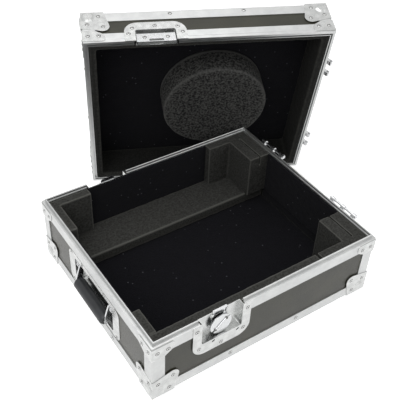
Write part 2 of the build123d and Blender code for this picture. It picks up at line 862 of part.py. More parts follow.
save(end_sheet(leg, panel), "lid_top_panel", lid_place)
save(side_panel(long_panel, lid_height, lid_top_drop, rear_catch_cut), "lid_front_panel", lid_place * rear)
save(side_panel(long_panel, lid_height, lid_top_drop, catch_cut), "lid_rear_panel", lid_place * front)
save(side_panel(short_panel, lid_height, lid_top_drop), "lid_handle_side_panel", lid_place * handle_side)
save(side_panel(short_panel, lid_height, lid_top_drop), "lid_hinge_side_panel", lid_place * hinge_side)
shell_edges("lid", lid_height, False, lid_place, catch_opening_width)

for side_name, (face, along_face) in lid_faces.items():
    spot = face * Location((along_face, 0, 0))
    catch = open_dish(lid_height, catch_height, flange_round, catch_opening_width, catch_opening_height)
    save(catch, f"lid_{side_name}_catch_dish", lid_place * spot)
    save(catch_keeper(), f"lid_{side_name}_catch_keeper", lid_place * spot)

for side_name, side in (("front", 1), ("rear", -1)):
    spot = hinge_side * Location((side * hinge_spacing / 2, 0, 0))
    save(hinge_leaf(lid_height, lid_knuckles), f"lid_{side_name}_hinge_leaf", lid_place * spot)

save(end_sheet(wall, carpet), "lid_carpet", lid_place)

catch_pocket = dish_pocket(catch_opening_width, catch_low - plate, lid_height + 1)
foam_lid_top = lid_height - foam_below_rim
side_reach = inner_y - lid_foam_long
lid_foams = []
for face, place_x in lid_faces.values():
    pocket = catch_pocket.moved(Location((place_x, 0, 0)))
    long_foam = wall_lining(-inner_x, inner_x, floor, foam_lid_top, lid_foam_long, pocket)
    lid_foams.append(long_foam.moved(face))
for face in (handle_side, hinge_side):
    lid_foams.append(wall_lining(-side_reach, side_reach, floor, foam_lid_top, lid_foam_side).moved(face))
save(gather(lid_foams), "lid_foam_lining", lid_place)

with BuildPart() as lid_foam_puck:
    with BuildSketch(Plane.XY.offset(floor)):
        with Locations((puck_off_centre, 0)):
            Circle(puck_radius)
    extrude(amount=lid_height - puck_below_rim - floor)
save(lid_foam_puck, "lid_foam_puck", lid_place)
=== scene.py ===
"""Looks for the turntable flight case: finishes for its metalwork, boards and grip, and its
foam, carpet and rivets as pieces of their own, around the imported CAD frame."""

import math

import bmesh
import bpy
from mathutils import Matrix, Vector, noise


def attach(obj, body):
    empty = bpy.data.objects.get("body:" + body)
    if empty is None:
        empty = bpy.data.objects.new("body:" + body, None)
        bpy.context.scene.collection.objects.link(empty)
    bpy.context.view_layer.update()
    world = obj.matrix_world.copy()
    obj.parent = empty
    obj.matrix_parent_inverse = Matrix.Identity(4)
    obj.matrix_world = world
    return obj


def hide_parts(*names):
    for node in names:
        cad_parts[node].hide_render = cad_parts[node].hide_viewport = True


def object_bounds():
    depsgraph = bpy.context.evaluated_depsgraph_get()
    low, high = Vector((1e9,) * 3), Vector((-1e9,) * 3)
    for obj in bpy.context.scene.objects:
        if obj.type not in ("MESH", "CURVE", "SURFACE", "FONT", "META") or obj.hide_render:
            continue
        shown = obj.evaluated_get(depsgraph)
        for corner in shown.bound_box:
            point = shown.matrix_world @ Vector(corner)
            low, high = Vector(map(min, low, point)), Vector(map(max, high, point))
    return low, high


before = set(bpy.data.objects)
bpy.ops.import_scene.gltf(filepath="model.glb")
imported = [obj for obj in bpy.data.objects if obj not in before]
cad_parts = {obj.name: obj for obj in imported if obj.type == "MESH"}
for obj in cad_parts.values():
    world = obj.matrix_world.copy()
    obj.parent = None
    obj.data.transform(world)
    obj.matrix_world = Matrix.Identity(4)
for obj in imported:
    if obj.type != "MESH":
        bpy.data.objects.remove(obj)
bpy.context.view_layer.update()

mm = 0.001

# Case sizes that the trim is set out on, in mm, as the CAD has them
half_length = 265
half_width = 227
tray_height = 147
lid_height = 90
latch_along = 115.5
hinge_along = 121.5

# Where the tray and the lid stand: origin in the middle of the closed end's outside
tray_place = Matrix.Translation(Vector((251, 213, 4)) * mm)
lid_place = Matrix(
    (
        (0.9133, -0.0966, -0.3958, 441.04 * mm),
        (-0.4074, -0.2164, -0.8872, 535.57 * mm),
        (0, 0.9715, -0.2370, 243.26 * mm),
        (0, 0, 0, 1),
    )
)


def turned(angle, x, y):
    """A face's own frame: x along it, y into the case, z away from the closed end."""
    return Matrix.Translation((x, y, 0)) @ Matrix.Rotation(math.radians(angle), 4, "Z")


faces = {
    "front": turned(0, 0, -half_width * mm),
    "rear": turned(180, 0, half_width * mm),
    "handle_side": turned(-90, -half_length * mm, 0),
    "hinge_side": turned(90, half_length * mm, 0),
}


# Node trees and colours
def add(tree, kind, inputs=(), **settings):
    """Adds a node with its settings, and its inputs as values or links from other nodes."""
    made = tree.nodes.new(kind)
    for name, value in settings.items():
        setattr(made, name, value)
    for key, value in dict(inputs).items():
        if isinstance(value, bpy.types.NodeSocket):
            tree.links.new(value, made.inputs[key])
        else:
            made.inputs[key].default_value = value
    return made


def colour(hex_value):
    """An sRGB hex value as the linear colour that a shader takes."""
    parts = [int(hex_value[i : i + 2], 16) / 255 for i in (1, 3, 5)]
    return (*[p / 12.92 if p <= 0.04045 else ((p + 0.055) / 1.055) ** 2.4 for p in parts], 1)


def material(name, **sockets):
    """A new material, its node tree and its shader with these socket values."""
    made = bpy.data.materials.new(name)
    made.use_nodes = True
    shader = made.node_tree.nodes["Principled BSDF"]
    for socket, value in sockets.items():
        shader.inputs[socket.replace("_", " ")].default_value = value
    return made, made.node_tree, shader


# Extruded aluminium edging, satin anodised: a pale even sheen with faint handling marks
def satin_anodised_aluminium():
    made, tree, shader = material("satin_anodised_aluminium", Metallic=1.0)
    place = add(tree, "ShaderNodeTexCoord").outputs["Object"]
    # Handling marks some 25 mm across
    marks = add(
        tree,
        "ShaderNodeTexNoise",
        {"Vector": place, "Scale": 40, "Detail": 5, "Roughness": 0.6},
    )
    tint = add(tree, "ShaderNodeValToRGB", {"Fac": marks.outputs["Fac"]})
    tint.color_ramp.elements[0].position, tint.color_ramp.elements[1].position = 0.3, 0.7
    tint.color_ramp.elements[0].color = colour("#B9BABA")
    tint.color_ramp.elements[1].color = colour("#C8C9C8")
    # Grain left by the die, drawn even and coarse at 2 mm so that it shows
    grain = add(tree, "ShaderNodeTexNoise", {"Vector": place, "Scale": 480, "Detail": 2})
    sheen = add(
        tree,
        "ShaderNodeMapRange",
        {"Value": grain.outputs["Fac"], "To Min": 0.30, "To Max": 0.42},
    )
    bump = add(
        tree,
        "ShaderNodeBump",
        {"Height": grain.outputs["Fac"], "Strength": 0.05, "Distance": 0.1 * mm},
    )
    tree.links.new(tint.outputs["Color"], shader.inputs["Base Color"])
    tree.links.new(sheen.outputs["Result"], shader.inputs["Roughness"])
    tree.links.new(bump.outputs["Normal"], shader.inputs["Normal"])
    return made


# Phenolic laminate on plywood: dark olive grey with a fine pressed pebble that breaks up the gloss
def pebbled_phenolic_laminate():
    made, tree, shader = material("pebbled_phenolic_laminate", IOR=1.47, Specular_IOR_Level=0.4)
    place = add(tree, "ShaderNodeTexCoord").outputs["Object"]
    # Pebbles of 1 mm in the real sheet, drawn at 2.5 mm so that they show
    pebble = add(tree, "ShaderNodeTexVoronoi", {"Vector": place, "Scale": 400}, feature="SMOOTH_F1")
    # Paler and darker patches, about 60 mm across
    cloud = add(tree, "ShaderNodeTexNoise", {"Vector": place, "Scale": 16, "Detail": 4})
    tint = add(tree, "ShaderNodeValToRGB", {"Fac": cloud.outputs["Fac"]})
    tint.color_ramp.elements[0].position, tint.color_ramp.elements[1].position = 0.35, 0.65
    tint.color_ramp.elements[0].color = colour("#2A2A20")
    tint.color_ramp.elements[1].color = colour("#353428")
    worn = add(
        tree,
        "ShaderNodeMapRange",
        {"Value": pebble.outputs["Distance"], "To Min": 0.26, "To Max": 0.42},
    )
    bump = add(
        tree,
        "ShaderNodeBump",
        {"Height": pebble.outputs["Distance"], "Strength": 0.35, "Distance": 0.3 * mm},
    )
    tree.links.new(tint.outputs["Color"], shader.inputs["Base Color"])
    tree.links.new(worn.outputs["Result"], shader.inputs["Roughness"])
    tree.links.new(bump.outputs["Normal"], shader.inputs["Normal"])
    return made


# Pressed steel, bright zinc plated: whiter and glossier than the aluminium, with a soft mottle
def zinc_plated_pressed_steel():
    made, tree, shader = material("zinc_plated_pressed_steel", Metallic=1.0)
    place = add(tree, "ShaderNodeTexCoord").outputs["Object"]
    # Zinc spangle, about 12 mm across
    spangle = add(tree, "ShaderNodeTexVoronoi", {"Vector": place, "Scale": 80, "Randomness": 1.0})
    tint = add(tree, "ShaderNodeValToRGB", {"Fac": spangle.outputs["Distance"]})
    tint.color_ramp.elements[0].position, tint.color_ramp.elements[1].position = 0.2, 0.8
    tint.color_ramp.elements[0].color = colour("#C9CAC9")
    tint.color_ramp.elements[1].color = colour("#BBBCBB")
    # Wiping smears, about 8 mm across
    smear = add(tree, "ShaderNodeTexNoise", {"Vector": place, "Scale": 120, "Detail": 4})
    sheen = add(
        tree,
        "ShaderNodeMapRange",
        {"Value": smear.outputs["Fac"], "To Min": 0.23, "To Max": 0.29},
    )
    bump = add(
        tree,
        "ShaderNodeBump",
        {"Height": smear.outputs["Fac"], "Strength": 0.04, "Distance": 0.3 * mm},
    )
    tree.links.new(tint.outputs["Color"], shader.inputs["Base Color"])
    tree.links.new(sheen.outputs["Result"], shader.inputs["Roughness"])
    tree.links.new(bump.outputs["Normal"], shader.inputs["Normal"])
    return made


# Tumbled and nickel plated steel of the moving hardware: clear reflections, fine scratches
def nickel_plated_steel():
    made, tree, shader = material("nickel_plated_steel", Metallic=1.0)
    place = add(tree, "ShaderNodeTexCoord").outputs["Object"]
    # Tumbling scratches, 1.5 mm apart
    scratch = add(
        tree,
        "ShaderNodeTexNoise",
        {"Vector": place, "Scale": 650, "Detail": 3, "Distortion": 1.5},
    )
    tint = add(tree, "ShaderNodeValToRGB", {"Fac": scratch.outputs["Fac"]})
    tint.color_ramp.elements[0].position, tint.color_ramp.elements[1].position = 0.3, 0.7
    tint.color_ramp.elements[0].color = colour("#BDBEBF")
    tint.color_ramp.elements[1].color = colour("#D6D7D8")
    sheen = add(
        tree,
        "ShaderNodeMapRange",
        {"Value": scratch.outputs["Fac"], "To Min": 0.12, "To Max": 0.28},
    )
    tree.links.new(tint.outputs["Color"], shader.inputs["Base Color"])
    tree.links.new(sheen.outputs["Result"], shader.inputs["Roughness"])
    return made


# Spring steel of the latch core, coloured dark grey as painted shade and painted dark reflection,
# with random darker smears
def spring_steel_painted_dark():
    made, tree, shader = material("spring_steel_painted_dark", Metallic=1.0)
    place = add(tree, "ShaderNodeTexCoord").outputs["Object"]
    # Random darker smears, about 6 mm across, within the painted dark tone
    dark_smear = add(tree, "ShaderNodeTexNoise", {"Vector": place, "Scale": 160, "Detail": 4})
    tint = add(tree, "ShaderNodeValToRGB", {"Fac": dark_smear.outputs["Fac"]})
    tint.color_ramp.elements[0].position, tint.color_ramp.elements[1].position = 0.35, 0.65
    tint.color_ramp.elements[0].color = colour("#4A4A48")
    tint.color_ramp.elements[1].color = colour("#8E8E8B")
    sheen = add(
        tree,
        "ShaderNodeMapRange",
        {"Value": dark_smear.outputs["Fac"], "To Min": 0.16, "To Max": 0.42},
    )
    tree.links.new(tint.outputs["Color"], shader.inputs["Base Color"])
    tree.links.new(sheen.outputs["Result"], shader.inputs["Roughness"])
    return made


# Moulded black rubber: slightly blue black, dull, with a dusting of grey where hands rub it
def moulded_black_rubber():
    made, tree, shader = material("moulded_black_rubber", IOR=1.52)
    place = add(tree, "ShaderNodeTexCoord").outputs["Object"]
    # Mould grain, drawn coarse at 2.4 mm so that it shows
    grain = add(tree, "ShaderNodeTexNoise", {"Vector": place, "Scale": 420, "Detail": 3})
    # Rubbed patches, almost 30 mm across
    rub = add(tree, "ShaderNodeTexNoise", {"Vector": place, "Scale": 35, "Detail": 3})
    tint = add(tree, "ShaderNodeValToRGB", {"Fac": rub.outputs["Fac"]})
    tint.color_ramp.elements[0].position, tint.color_ramp.elements[1].position = 0.35, 0.75
    tint.color_ramp.elements[0].color = colour("#17191C")
    tint.color_ramp.elements[1].color = colour("#25282B")
    sheen = add(
        tree,
        "ShaderNodeMapRange",
        {"Value": grain.outputs["Fac"], "To Min": 0.36, "To Max": 0.56},
    )
    bump = add(
        tree,
        "ShaderNodeBump",
        {"Height": grain.outputs["Fac"], "Strength": 0.3, "Distance": 0.2 * mm},
    )
    tree.links.new(tint.outputs["Color"], shader.inputs["Base Color"])
    tree.links.new(sheen.outputs["Result"], shader.inputs["Roughness"])
    tree.links.new(bump.outputs["Normal"], shader.inputs["Normal"])
    return made


# Needle-punched carpet: black fibre that swallows light, with stray pale fluff
def needle_punched_carpet():
    made, tree, shader = material(
        "needle_punched_carpet", Roughness=1.0, IOR=1.25, Sheen_Weight=0.03, Sheen_Roughness=0.6
    )
    place = add(tree, "ShaderNodeTexCoord").outputs["Object"]
    # Fibre loops of 1 mm, drawn at 3 mm so that they show
    pile = add(
        tree,
        "ShaderNodeTexNoise",
        {"Vector": place, "Scale": 340, "Detail": 6, "Roughness": 0.7},
    )
    tint = add(tree, "ShaderNodeValToRGB", {"Fac": pile.outputs["Fac"]})
    tint.color_ramp.elements[0].position, tint.color_ramp.elements[1].position = 0.35, 0.7
    tint.color_ramp.elements[0].color = colour("#050508")
    tint.color_ramp.elements[1].color = colour("#101016")
    # Fluff: each cell, 18 mm across, shows a speck where its middle comes near the surface
    fluff = add(tree, "ShaderNodeTexVoronoi", {"Vector": place, "Scale": 55})
    speck = add(
        tree,
        "ShaderNodeMapRange",
        {
            "Value": fluff.outputs["Distance"],
            "From Min": 0.05,
            "From Max": 0.10,
            "To Min": 0.5,
            "To Max": 0.0,
        },
    )
    mixed = add(
        tree,
        "ShaderNodeMix",
        {0: speck.outputs["Result"], 6: tint.outputs["Color"], 7: colour("#6E6E74")},
        data_type="RGBA",
    )
    bump = add(
        tree,
        "ShaderNodeBump",
        {"Height": pile.outputs["Fac"], "Strength": 0.8, "Distance": 1.2 * mm},
    )
    tree.links.new(mixed.outputs[2], shader.inputs["Base Color"])
    tree.links.new(bump.outputs["Normal"], shader.inputs["Normal"])
    return made


# Open-cell polyurethane foam: dull charcoal, its cut cells catch light as a grey speckle, and its
# edges carry a painted highlight
def cut_foam(name, dark, light, edge, cell, spread):
    made, tree, shader = material(name, Roughness=0.95, IOR=1.3)
    place = add(tree, "ShaderNodeTexCoord").outputs["Object"]
    # Cells of about 1 mm in the real foam, drawn larger so that they show
    cells = add(tree, "ShaderNodeTexNoise", {"Vector": place, "Scale": 1 / cell, "Detail": 1.5})
    tint = add(tree, "ShaderNodeValToRGB", {"Fac": cells.outputs["Fac"]})
    tint.color_ramp.elements[0].position = 0.5 - spread
    tint.color_ramp.elements[1].position = 0.5 + spread
    tint.color_ramp.elements[0].color = colour(dark)
    tint.color_ramp.elements[1].color = colour(light)
    # Painted highlight: the edges are paler, from the piece's own edge attribute
    rim = add(tree, "ShaderNodeAttribute", attribute_name="edge_highlight_mask")
    mixed = add(
        tree,
        "ShaderNodeMix",
        {0: rim.outputs["Fac"], 6: tint.outputs["Color"], 7: colour(edge)},
        data_type="RGBA",
    )
    bump = add(
        tree,
        "ShaderNodeBump",
        {"Height": cells.outputs["Fac"], "Strength": 0.7, "Distance": 1.0 * mm},
    )
    tree.links.new(mixed.outputs[2], shader.inputs["Base Color"])
    tree.links.new(bump.outputs["Normal"], shader.inputs["Normal"])
    return made


# Painted shade: dark steel that stands for the shade in the open bore of a tubular rivet and on the
# seat around its head
def painted_rivet_shade_steel():
    made, tree, shader = material("painted_rivet_shade_steel", Metallic=1.0)
    place = add(tree, "ShaderNodeTexCoord").outputs["Object"]
    # Mottle in the painted shade, in specks of 1 mm
    shade_mottle = add(tree, "ShaderNodeTexNoise", {"Vector": place, "Scale": 900, "Detail": 2})
    tint = add(tree, "ShaderNodeValToRGB", {"Fac": shade_mottle.outputs["Fac"]})
    tint.color_ramp.elements[0].color = colour("#2B2A29")
    tint.color_ramp.elements[1].color = colour("#5A5855")
    tree.links.new(tint.outputs["Color"], shader.inputs["Base Color"])
    shader.inputs["Roughness"].default_value = 0.5
    return made


aluminium = satin_anodised_aluminium()
laminate = pebbled_phenolic_laminate()
zinc = zinc_plated_pressed_steel()
nickel = nickel_plated_steel()
core_steel_painted_dark = spring_steel_painted_dark()
rubber = moulded_black_rubber()
carpet = needle_punched_carpet()
# The third colour of each foam is its painted edge highlight
block_foam = cut_foam("cut_block_foam", "#2B2B28", "#424240", "#5E5E5A", 4 * mm, 0.2)
lining_foam = cut_foam("cut_lining_foam", "#141413", "#252523", "#3A3A37", 4 * mm, 0.2)
puck_foam = cut_foam("cut_puck_foam", "#0E0E0F", "#4E4E4C", "#5C5C5A", 4.5 * mm, 0.14)
rivet_painted_shade = painted_rivet_shade_steel()

finishes = {
    "edge_aluminium": aluminium,
    "laminate": laminate,
    "pressed_steel": zinc,
    "bright_steel": nickel,
    "grip_rubber": rubber,
    "carpet": carpet,
    "foam": block_foam,
}
for name, cad_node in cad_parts.items():
    for surface in cad_node.material_slots:
        surface.material = finishes[surface.material.name.split(".")[0]]
        # The rotor and wing pin take the dark steel: its dark grey is painted shade and painted
        # dark reflection
        if name.endswith(("_rotor", "_wing_pin")):
            surface.material = core_steel_painted_dark


# Soft pieces
weld = 0.02 * mm  # joins the loose triangles of a copied CAD mesh
fine_voxel = 1.2 * mm  # keeps the slits of the layered blocks open
block_voxel = 2 * mm
long_voxel = 3 * mm


def plain_mesh(piece):
    """Takes the modifiers into the piece's mesh."""
    graph = bpy.context.evaluated_depsgraph_get()
    mesh = bpy.data.meshes.new_from_object(piece.evaluated_get(graph))
    piece.modifiers.clear()
    piece.data = mesh


def new_piece(name, mesh, finish):
    """Puts a mesh in the scene as an object with one finish."""
    piece = bpy.data.objects.new(name, mesh)
    bpy.context.scene.collection.objects.link(piece)
    mesh.materials.clear()
    mesh.materials.append(finish)
    return piece


def roughen(mesh, depth, spacing):
    """Moves each point along its normal in waves about spacing long, and finer ones on them."""
    finer = 2.7
    shift = [
        v.normal * depth * (noise.noise(v.co / spacing) + 0.5 * noise.noise(v.co / spacing * finer))
        for v in mesh.vertices
    ]
    for v, by in zip(mesh.vertices, shift):
        v.co += by


def mark_edges(mesh, strength):
    """Stores how sharply the surface turns at each point as the attribute edge_highlight_mask."""
    turn = [0.0] * len(mesh.vertices)
    normals = [v.normal.copy() for v in mesh.vertices]
    for e in mesh.edges:
        a, b = e.vertices
        bend = 1 - normals[a].dot(normals[b])
        turn[a] = max(turn[a], bend)
        turn[b] = max(turn[b], bend)
    # The attribute is the mask for the painted highlight on the foams' edges
    made = mesh.attributes.new("edge_highlight_mask", "FLOAT", "POINT")
    for item, bend in zip(made.data, turn):
        item.value = min(1.0, bend * strength)


def foam_piece(name, cad_node, voxel, finish):
    """A soft piece in its CAD solid's place, with rounded edges and slightly wavy faces."""
    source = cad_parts[cad_node]
    mesh = source.data.copy()
    mesh.transform(source.matrix_world)
    shape = bmesh.new()
    shape.from_mesh(mesh)
    bmesh.ops.remove_doubles(shape, verts=shape.verts, dist=weld)
    shape.to_mesh(mesh)
    shape.free()
    piece = new_piece(name, mesh, finish)
    remesh = piece.modifiers.new("remesh", "REMESH")
    remesh.mode = "VOXEL"
    remesh.voxel_size = voxel
    soften = piece.modifiers.new("soften", "SMOOTH")
    soften.factor = 0.5
    soften.iterations = 5 if voxel == fine_voxel else 3
    plain_mesh(piece)
    piece.data.polygons.foreach_set("use_smooth", [True] * len(piece.data.polygons))
    # Mask for the painted edge highlight
    mark_edges(piece.data, strength=4.0)
    roughen(piece.data, depth=0.6 * mm, spacing=14 * mm)
    return piece


foams = {
    "front_left_foam": ("foam_front_left_block", block_voxel, "tray", block_foam),
    "front_right_foam": ("foam_front_right_block", fine_voxel, "tray", block_foam),
    "front_strip_foam": ("foam_front_strip", block_voxel, "tray", block_foam),
    "rear_ledge_foam": ("foam_rear_ledge", long_voxel, "tray", block_foam),
    "rear_left_foam": ("foam_rear_left_block", block_voxel, "tray", block_foam),
    "rear_right_foam": ("foam_rear_right_block", fine_voxel, "tray", block_foam),
    "lid_lining_foam": ("lid_foam_lining", long_voxel, "lid", lining_foam),
}
for name, (cad_node, voxel, body, foam) in foams.items():
    piece = foam_piece(name, cad_node, voxel, foam)
    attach(piece, body)
    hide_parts(cad_node)


def puck():
    """The round foam pad in the lid: a lathed disc with a soft rim."""
    radius, low, high, soft = 121 * mm, 11.8 * mm, 76.1 * mm, 4 * mm
    segments = 128
    profile = [(0.0, low)] + [(radius * i / 6, low) for i in range(1, 7)]
    profile += [(radius, low + (high - soft - low) * i / 12) for i in range(1, 13)]
    profile += [
        (radius - soft + soft * math.cos(a), high - soft + soft * math.sin(a))
        for a in [math.radians(18 * i) for i in range(1, 6)]
    ]
    profile += [((radius - soft) * (1 - i / 24), high) for i in range(1, 24)] + [(0.0, high)]
    shape = bmesh.new()
    rings = []
    for r, z in profile:
        if r == 0:
            rings.append([shape.verts.new((0, 0, z))])
        else:
            turns = [2 * math.pi * i / segments for i in range(segments)]
            rings.append([shape.verts.new((r * math.cos(a), r * math.sin(a), z)) for a in turns])
    for lower, upper in zip(rings, rings[1:]):
        for i in range(segments):
            j = (i + 1) % segments
            if len(lower) == 1:
                shape.faces.new((lower[0], upper[j], upper[i]))
            elif len(upper) == 1:
                shape.faces.new((lower[i], lower[j], upper[0]))
            else:
                shape.faces.new((lower[i], lower[j], upper[j], upper[i]))
    bmesh.ops.recalc_face_normals(shape, faces=shape.faces)
    mesh = bpy.data.meshes.new("lid_puck_foam")
    shape.to_mesh(mesh)
    shape.free()
    off_centre = Vector((28 * mm, 0, 0))  # towards the hinge side
    mesh.transform(lid_place @ Matrix.Translation(off_centre))
    mesh.polygons.foreach_set("use_smooth", [True] * len(mesh.polygons))
    # Mask for the painted highlight on the rim
    mark_edges(mesh, strength=9.0)
    roughen(mesh, depth=0.5 * mm, spacing=16 * mm)
    return new_piece("lid_puck_foam", mesh, puck_foam)


lid_puck = puck()
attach(lid_puck, "lid")
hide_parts("lid_foam_puck")


def carpet_sheet(name, place, half_x, half_y, low, high):
    """A cut carpet laid on a board: a closed sheet whose pile rises and falls a little."""
    square = 5.7 * mm
    rise, patch = 0.5 * mm, 18 * mm
    across, along = [max(4, round(2 * half / square)) for half in (half_x, half_y)]
    shape = bmesh.new()
    layers = []
    for z in (low, high):
        layers.append(
            [
                [
                    shape.verts.new(
                        (half_x * (2 * i / across - 1), half_y * (2 * j / along - 1), z)
                    )
                    for j in range(along + 1)
                ]
                for i in range(across + 1)
            ]
        )
    for i in range(across):
        for j in range(along):
            b, t = layers
            shape.faces.new((b[i][j], b[i][j + 1], b[i + 1][j + 1], b[i + 1][j]))
            shape.faces.new((t[i][j], t[i + 1][j], t[i + 1][j + 1], t[i][j + 1]))
    b, t = layers
    for i in range(across):
        shape.faces.new((b[i][0], b[i + 1][0], t[i + 1][0], t[i][0]))
        shape.faces.new((b[i + 1][along], b[i][along], t[i][along], t[i + 1][along]))
    for j in range(along):
        shape.faces.new((b[0][j + 1], b[0][j], t[0][j], t[0][j + 1]))
        shape.faces.new((b[across][j], b[across][j + 1], t[across][j + 1], t[across][j]))
    bmesh.ops.recalc_face_normals(shape, faces=shape.faces)
    for row in layers[1]:
        for v in row:
            v.co.z += rise * (noise.noise(v.co / patch) - 0.6)
    mesh = bpy.data.meshes.new(name)
    shape.to_mesh(mesh)
    shape.free()
    mesh.transform(place)
    mesh.polygons.foreach_set("use_smooth", [True] * len(mesh.polygons))
    return new_piece(name, mesh, carpet)


board_x, board_y = 256.2 * mm, 218.2 * mm
board_top, pile_top = 8.8 * mm, 11.8 * mm
boards = {
    "floor_carpet": (tray_place, "tray", "tray_floor_carpet", "tray_bottom_panel"),
    "lid_lining_carpet": (lid_place, "lid", "lid_carpet", "lid_top_panel"),
}
for name, (board_place, body, cad_node, board) in boards.items():
    piece = carpet_sheet(name, board_place, board_x, board_y, board_top, pile_top)
    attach(piece, body)
    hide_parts(cad_node)

wall_carpet = foam_piece("wall_carpet", "tray_wall_lining", block_voxel, carpet)
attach(wall_carpet, "tray")
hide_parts("tray_wall_lining")


# Thin carpet on the bare foot of the two end walls, between the foam blocks. For each strip:
# its middle in mm, which way along x is inwards, half its length in mm, and its wall
half_skirting, skirting_pile = 13.3 * mm, 1.4 * mm
skirting = {
    "hinge_side_skirting": ((507.2, 212.0, 29.3), -1, 123.3, "tray_hinge_side_panel"),
    "handle_side_skirting": ((-5.2, 207.0, 29.3), 1, 128.3, "tray_handle_side_panel"),
}
for name, (middle_of_strip, inwards, half_strip, wall_node) in skirting.items():
    strip_place = Matrix(((0, 0, inwards), (inwards, 0, 0), (0, 1, 0))).to_4x4()
    strip_place.translation = Vector(middle_of_strip) * mm
    strip = carpet_sheet(name, strip_place, half_strip * mm, half_skirting, 0, skirting_pile)
    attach(strip, "tray")


# Rivets: tubular heads set by Geometry Nodes on points that carry the way they face
head_sides, bore_sides = 16, 12
bore_thickness, seat_thickness = 0.15 * mm, 0.2 * mm


def rivet_tree():
    """The node group that puts a head on each point, with its bore and seat dark as painted shade.
    """
    tree = bpy.data.node_groups.new("tubular_rivets", "GeometryNodeTree")
    tree.interface.new_socket("Points", in_out="INPUT", socket_type="NodeSocketGeometry")
    for name in ("Head radius", "Crown radius", "Height", "Bore radius", "Seat radius"):
        tree.interface.new_socket(name, in_out="INPUT", socket_type="NodeSocketFloat")
    tree.interface.new_socket("Rivets", in_out="OUTPUT", socket_type="NodeSocketGeometry")
    sizes = add(tree, "NodeGroupInput")
    skirt = add(
        tree,
        "GeometryNodeMeshCone",
        {
            "Vertices": head_sides,
            "Radius Top": sizes.outputs["Crown radius"],
            "Radius Bottom": sizes.outputs["Head radius"],
            "Depth": sizes.outputs["Height"],
        },
    )
    bore = add(
        tree,
        "GeometryNodeMeshCone",
        {
            "Vertices": bore_sides,
            "Radius Top": sizes.outputs["Bore radius"],
            "Radius Bottom": sizes.outputs["Bore radius"],
            "Depth": bore_thickness,
        },
    )
    seat = add(
        tree,
        "GeometryNodeMeshCone",
        {
            "Vertices": head_sides,
            "Radius Top": sizes.outputs["Head radius"],
            "Radius Bottom": sizes.outputs["Seat radius"],
            "Depth": seat_thickness,
        },
    )
    crown = add(tree, "ShaderNodeCombineXYZ", {"Z": sizes.outputs["Height"]})
    raised = add(
        tree,
        "GeometryNodeTransform",
        {"Geometry": bore.outputs["Mesh"], "Translation": crown.outputs["Vector"]},
    )
    # The bore and the seat take the dark steel: painted shade in the hollow and around the head
    shadowed = add(tree, "GeometryNodeJoinGeometry")
    tree.links.new(raised.outputs["Geometry"], shadowed.inputs["Geometry"])
    tree.links.new(seat.outputs["Mesh"], shadowed.inputs["Geometry"])
    marked = add(
        tree,
        "GeometryNodeStoreNamedAttribute",
        {"Geometry": shadowed.outputs["Geometry"], "Name": "bore", "Value": True},
        data_type="BOOLEAN",
        domain="FACE",
    )
    head = add(tree, "GeometryNodeJoinGeometry")
    tree.links.new(marked.outputs["Geometry"], head.inputs["Geometry"])
    tree.links.new(skirt.outputs["Mesh"], head.inputs["Geometry"])
    facing = add(
        tree,
        "GeometryNodeInputNamedAttribute",
        {"Name": "facing"},
        data_type="FLOAT_VECTOR",
    )
    aim = add(
        tree,
        "FunctionNodeAlignRotationToVector",
        {"Vector": facing.outputs["Attribute"]},
        axis="Z",
    )
    placed = add(
        tree,
        "GeometryNodeInstanceOnPoints",
        {
            "Points": sizes.outputs["Points"],
            "Instance": head.outputs["Geometry"],
            "Rotation": aim.outputs["Rotation"],
        },
    )
    real = add(tree, "GeometryNodeRealizeInstances", {"Geometry": placed.outputs["Instances"]})
    painted_shade_faces = add(tree, "GeometryNodeInputNamedAttribute", {"Name": "bore"}, data_type="BOOLEAN")
    plated = add(
        tree,
        "GeometryNodeSetMaterial",
        {"Geometry": real.outputs["Geometry"], "Material": zinc},
    )
    # Painted shade on the bore and the seat
    drilled = add(
        tree,
        "GeometryNodeSetMaterial",
        {
            "Geometry": plated.outputs["Geometry"],
            "Selection": painted_shade_faces.outputs["Attribute"],
            "Material": rivet_painted_shade,
        },
    )
    result = add(tree, "NodeGroupOutput")
    tree.links.new(drilled.outputs["Geometry"], result.inputs["Rivets"])
    return tree


rivets_tree = rivet_tree()
rivet_sizes = {
    "Head radius": 3.6 * mm,
    "Crown radius": 2.4 * mm,
    "Height": 1.3 * mm,
    "Bore radius": 1.5 * mm,
    "Seat radius": 4.4 * mm,
}


def rivets(name, body, places):
    """One body's rivets; places are points and the ways they face, in the CAD frame."""
    mesh = bpy.data.meshes.new(name)
    mesh.from_pydata([p for p, _ in places], [], [])
    facing = mesh.attributes.new("facing", "FLOAT_VECTOR", "POINT")
    for item, (_, way) in zip(facing.data, places):
        item.vector = way
    piece = bpy.data.objects.new(name, mesh)
    bpy.context.scene.collection.objects.link(piece)
    made = piece.modifiers.new("rivets", "NODES")
    made.node_group = rivets_tree
    for socket in rivets_tree.interface.items_tree:
        if socket.name in rivet_sizes:
            made[socket.identifier] = rivet_sizes[socket.name]
    plain_mesh(piece)
    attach(piece, body)


def on_face(half_place, face, points):
    """Points (x, z, y) of a face, in mm, as places in the CAD frame with the way they face."""
    turn = half_place @ faces[face]
    way = (turn.to_3x3() @ Vector((0, -1, 0))).normalized()
    return [(turn @ (Vector((x, y, z)) * mm), way) for x, z, y in points]


# How deep the heads sit, in mm into the case from the outside of the extrusions
on_plate = -1.2
on_hinge_leaf = -2
in_keeper = 3
in_handle_dish = 0.6

rim_row = 19  # below the closing plane
brace_inwards = (11, 33)  # from the case's corner
corner_lobes = ((44, 44), (36, 12), (12, 36))  # from the case's corner, along and up
hinge_row = (-33, -16, 16, 33)  # from the middle of the leaf
face_halves = {
    "front": half_length,
    "rear": half_length,
    "handle_side": half_width,
    "hinge_side": half_width,
}


